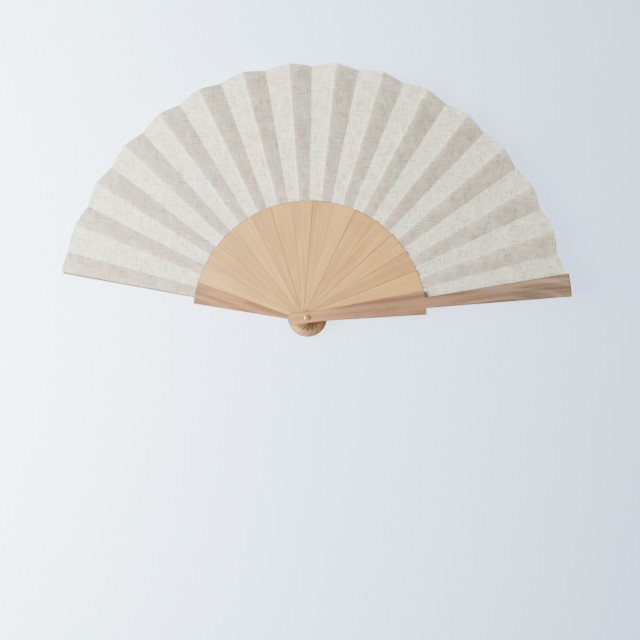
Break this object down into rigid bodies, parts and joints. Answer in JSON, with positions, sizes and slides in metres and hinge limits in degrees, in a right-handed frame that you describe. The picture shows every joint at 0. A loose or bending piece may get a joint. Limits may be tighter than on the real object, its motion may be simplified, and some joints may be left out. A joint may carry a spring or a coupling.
{
  "type": "folding hand fan",
  "caption": "Folding hand fan, open: wooden guards and ribs on one brass rivet, with a pleated linen leaf glued to the slips.",
  "frame": {"origin": "on the rivet axis, at the flat outer face of the rear rivet head", "axes": "+Z along the rivet towards the front guard; +Y along the middle of the open fan, from the rivet to the leaf; +X to the right, towards the front guard"},
  "size_m": [0.4247, 0.228, 0.0215],
  "materials": {
    "guard_wood": "smooth pinkish-brown sandalwood, sanded and unvarnished, with fine lengthwise grain",
    "rib_wood": "thin pale tan sandalwood, satin, with fine lengthwise grain",
    "linen": "natural off-white linen, plain weave with slubs and small flecks, slightly see-through",
    "brass": "polished brass rivet"
  },
  "bodies": {
    "guard_rear": {"guard_rear": "guard_wood", "leaf_glued_rear": "linen", "rivet_pin": "brass", "rivet_head_front": "brass", "rivet_head_rear": "brass"},
    "rib_14": {"rib_14": "rib_wood", "leaf_glued_14": "linen", "leaf_free_14": "linen"},
    "rib_13": {"rib_13": "rib_wood", "leaf_glued_13": "linen", "leaf_free_13": "linen"},
    "rib_12": {"rib_12": "rib_wood", "leaf_glued_12": "linen", "leaf_free_12": "linen"},
    "rib_11": {"rib_11": "rib_wood", "leaf_glued_11": "linen", "leaf_free_11": "linen"},
    "rib_10": {"rib_10": "rib_wood", "leaf_glued_10": "linen", "leaf_free_10": "linen"},
    "rib_09": {"rib_09": "rib_wood", "leaf_glued_09": "linen", "leaf_free_09": "linen"},
    "rib_08": {"rib_08": "rib_wood", "leaf_glued_08": "linen", "leaf_free_08": "linen"},
    "rib_07": {"rib_07": "rib_wood", "leaf_glued_07": "linen", "leaf_free_07": "linen"},
    "rib_06": {"rib_06": "rib_wood", "leaf_glued_06": "linen", "leaf_free_06": "linen"},
    "rib_05": {"rib_05": "rib_wood", "leaf_glued_05": "linen", "leaf_free_05": "linen"},
    "rib_04": {"rib_04": "rib_wood", "leaf_glued_04": "linen", "leaf_free_04": "linen"},
    "rib_03": {"rib_03": "rib_wood", "leaf_glued_03": "linen", "leaf_free_03": "linen"},
    "rib_02": {"rib_02": "rib_wood", "leaf_glued_02": "linen", "leaf_free_02": "linen"},
    "rib_01": {"rib_01": "rib_wood", "leaf_glued_01": "linen", "leaf_free_01": "linen"},
    "guard_front": {"guard_front": "guard_wood", "leaf_glued_front": "linen", "leaf_free_00": "linen"}
  },
  "joints": [
    {"name": "fold", "type": "hinge", "parent": "guard_rear", "child": "rib_14", "pos_m": [0, 0, 0], "axis": [0, 0, 1], "range_deg": [0, 10.68], "deforming": ["leaf_free_14"]},
    {"name": "fold_rib_13", "type": "hinge", "parent": "rib_14", "child": "rib_13", "pos_m": [0, 0, 0], "axis": [0, 0, 1], "range_deg": [0, 10.68], "deforming": ["leaf_free_13"]},
    {"name": "fold_rib_12", "type": "hinge", "parent": "rib_13", "child": "rib_12", "pos_m": [0, 0, 0], "axis": [0, 0, 1], "range_deg": [0, 10.68], "deforming": ["leaf_free_12"]},
    {"name": "fold_rib_11", "type": "hinge", "parent": "rib_12", "child": "rib_11", "pos_m": [0, 0, 0], "axis": [0, 0, 1], "range_deg": [0, 10.68], "deforming": ["leaf_free_11"]},
    {"name": "fold_rib_10", "type": "hinge", "parent": "rib_11", "child": "rib_10", "pos_m": [0, 0, 0], "axis": [0, 0, 1], "range_deg": [0, 10.68], "deforming": ["leaf_free_10"]},
    {"name": "fold_rib_09", "type": "hinge", "parent": "rib_10", "child": "rib_09", "pos_m": [0, 0, 0], "axis": [0, 0, 1], "range_deg": [0, 10.68], "deforming": ["leaf_free_09"]},
    {"name": "fold_rib_08", "type": "hinge", "parent": "rib_09", "child": "rib_08", "pos_m": [0, 0, 0], "axis": [0, 0, 1], "range_deg": [0, 10.68], "deforming": ["leaf_free_08"]},
    {"name": "fold_rib_07", "type": "hinge", "parent": "rib_08", "child": "rib_07", "pos_m": [0, 0, 0], "axis": [0, 0, 1], "range_deg": [0, 10.68], "deforming": ["leaf_free_07"]},
    {"name": "fold_rib_06", "type": "hinge", "parent": "rib_07", "child": "rib_06", "pos_m": [0, 0, 0], "axis": [0, 0, 1], "range_deg": [0, 10.68], "deforming": ["leaf_free_06"]},
    {"name": "fold_rib_05", "type": "hinge", "parent": "rib_06", "child": "rib_05", "pos_m": [0, 0, 0], "axis": [0, 0, 1], "range_deg": [0, 10.68], "deforming": ["leaf_free_05"]},
    {"name": "fold_rib_04", "type": "hinge", "parent": "rib_05", "child": "rib_04", "pos_m": [0, 0, 0], "axis": [0, 0, 1], "range_deg": [0, 10.68], "deforming": ["leaf_free_04"]},
    {"name": "fold_rib_03", "type": "hinge", "parent": "rib_04", "child": "rib_03", "pos_m": [0, 0, 0], "axis": [0, 0, 1], "range_deg": [0, 10.68], "deforming": ["leaf_free_03"]},
    {"name": "fold_rib_02", "type": "hinge", "parent": "rib_03", "child": "rib_02", "pos_m": [0, 0, 0], "axis": [0, 0, 1], "range_deg": [0, 10.68], "deforming": ["leaf_free_02"]},
    {"name": "fold_rib_01", "type": "hinge", "parent": "rib_02", "child": "rib_01", "pos_m": [0, 0, 0], "axis": [0, 0, 1], "range_deg": [0, 10.68], "deforming": ["leaf_free_01"]},
    {"name": "fold_guard_front", "type": "hinge", "parent": "rib_01", "child": "guard_front", "pos_m": [0, 0, 0], "axis": [0, 0, 1], "range_deg": [0, 10.68], "deforming": ["leaf_free_00"]}
  ],
  "couplings": [
    {"joint": "fold_rib_13", "follows": "fold", "ratio": 1},
    {"joint": "fold_rib_12", "follows": "fold", "ratio": 1},
    {"joint": "fold_rib_11", "follows": "fold", "ratio": 1},
    {"joint": "fold_rib_10", "follows": "fold", "ratio": 1},
    {"joint": "fold_rib_09", "follows": "fold", "ratio": 1},
    {"joint": "fold_rib_08", "follows": "fold", "ratio": 1},
    {"joint": "fold_rib_07", "follows": "fold", "ratio": 1},
    {"joint": "fold_rib_06", "follows": "fold", "ratio": 1},
    {"joint": "fold_rib_05", "follows": "fold", "ratio": 1},
    {"joint": "fold_rib_04", "follows": "fold", "ratio": 1},
    {"joint": "fold_rib_03", "follows": "fold", "ratio": 1},
    {"joint": "fold_rib_02", "follows": "fold", "ratio": 1},
    {"joint": "fold_rib_01", "follows": "fold", "ratio": 1},
    {"joint": "fold_guard_front", "follows": "fold", "ratio": 1}
  ]
}
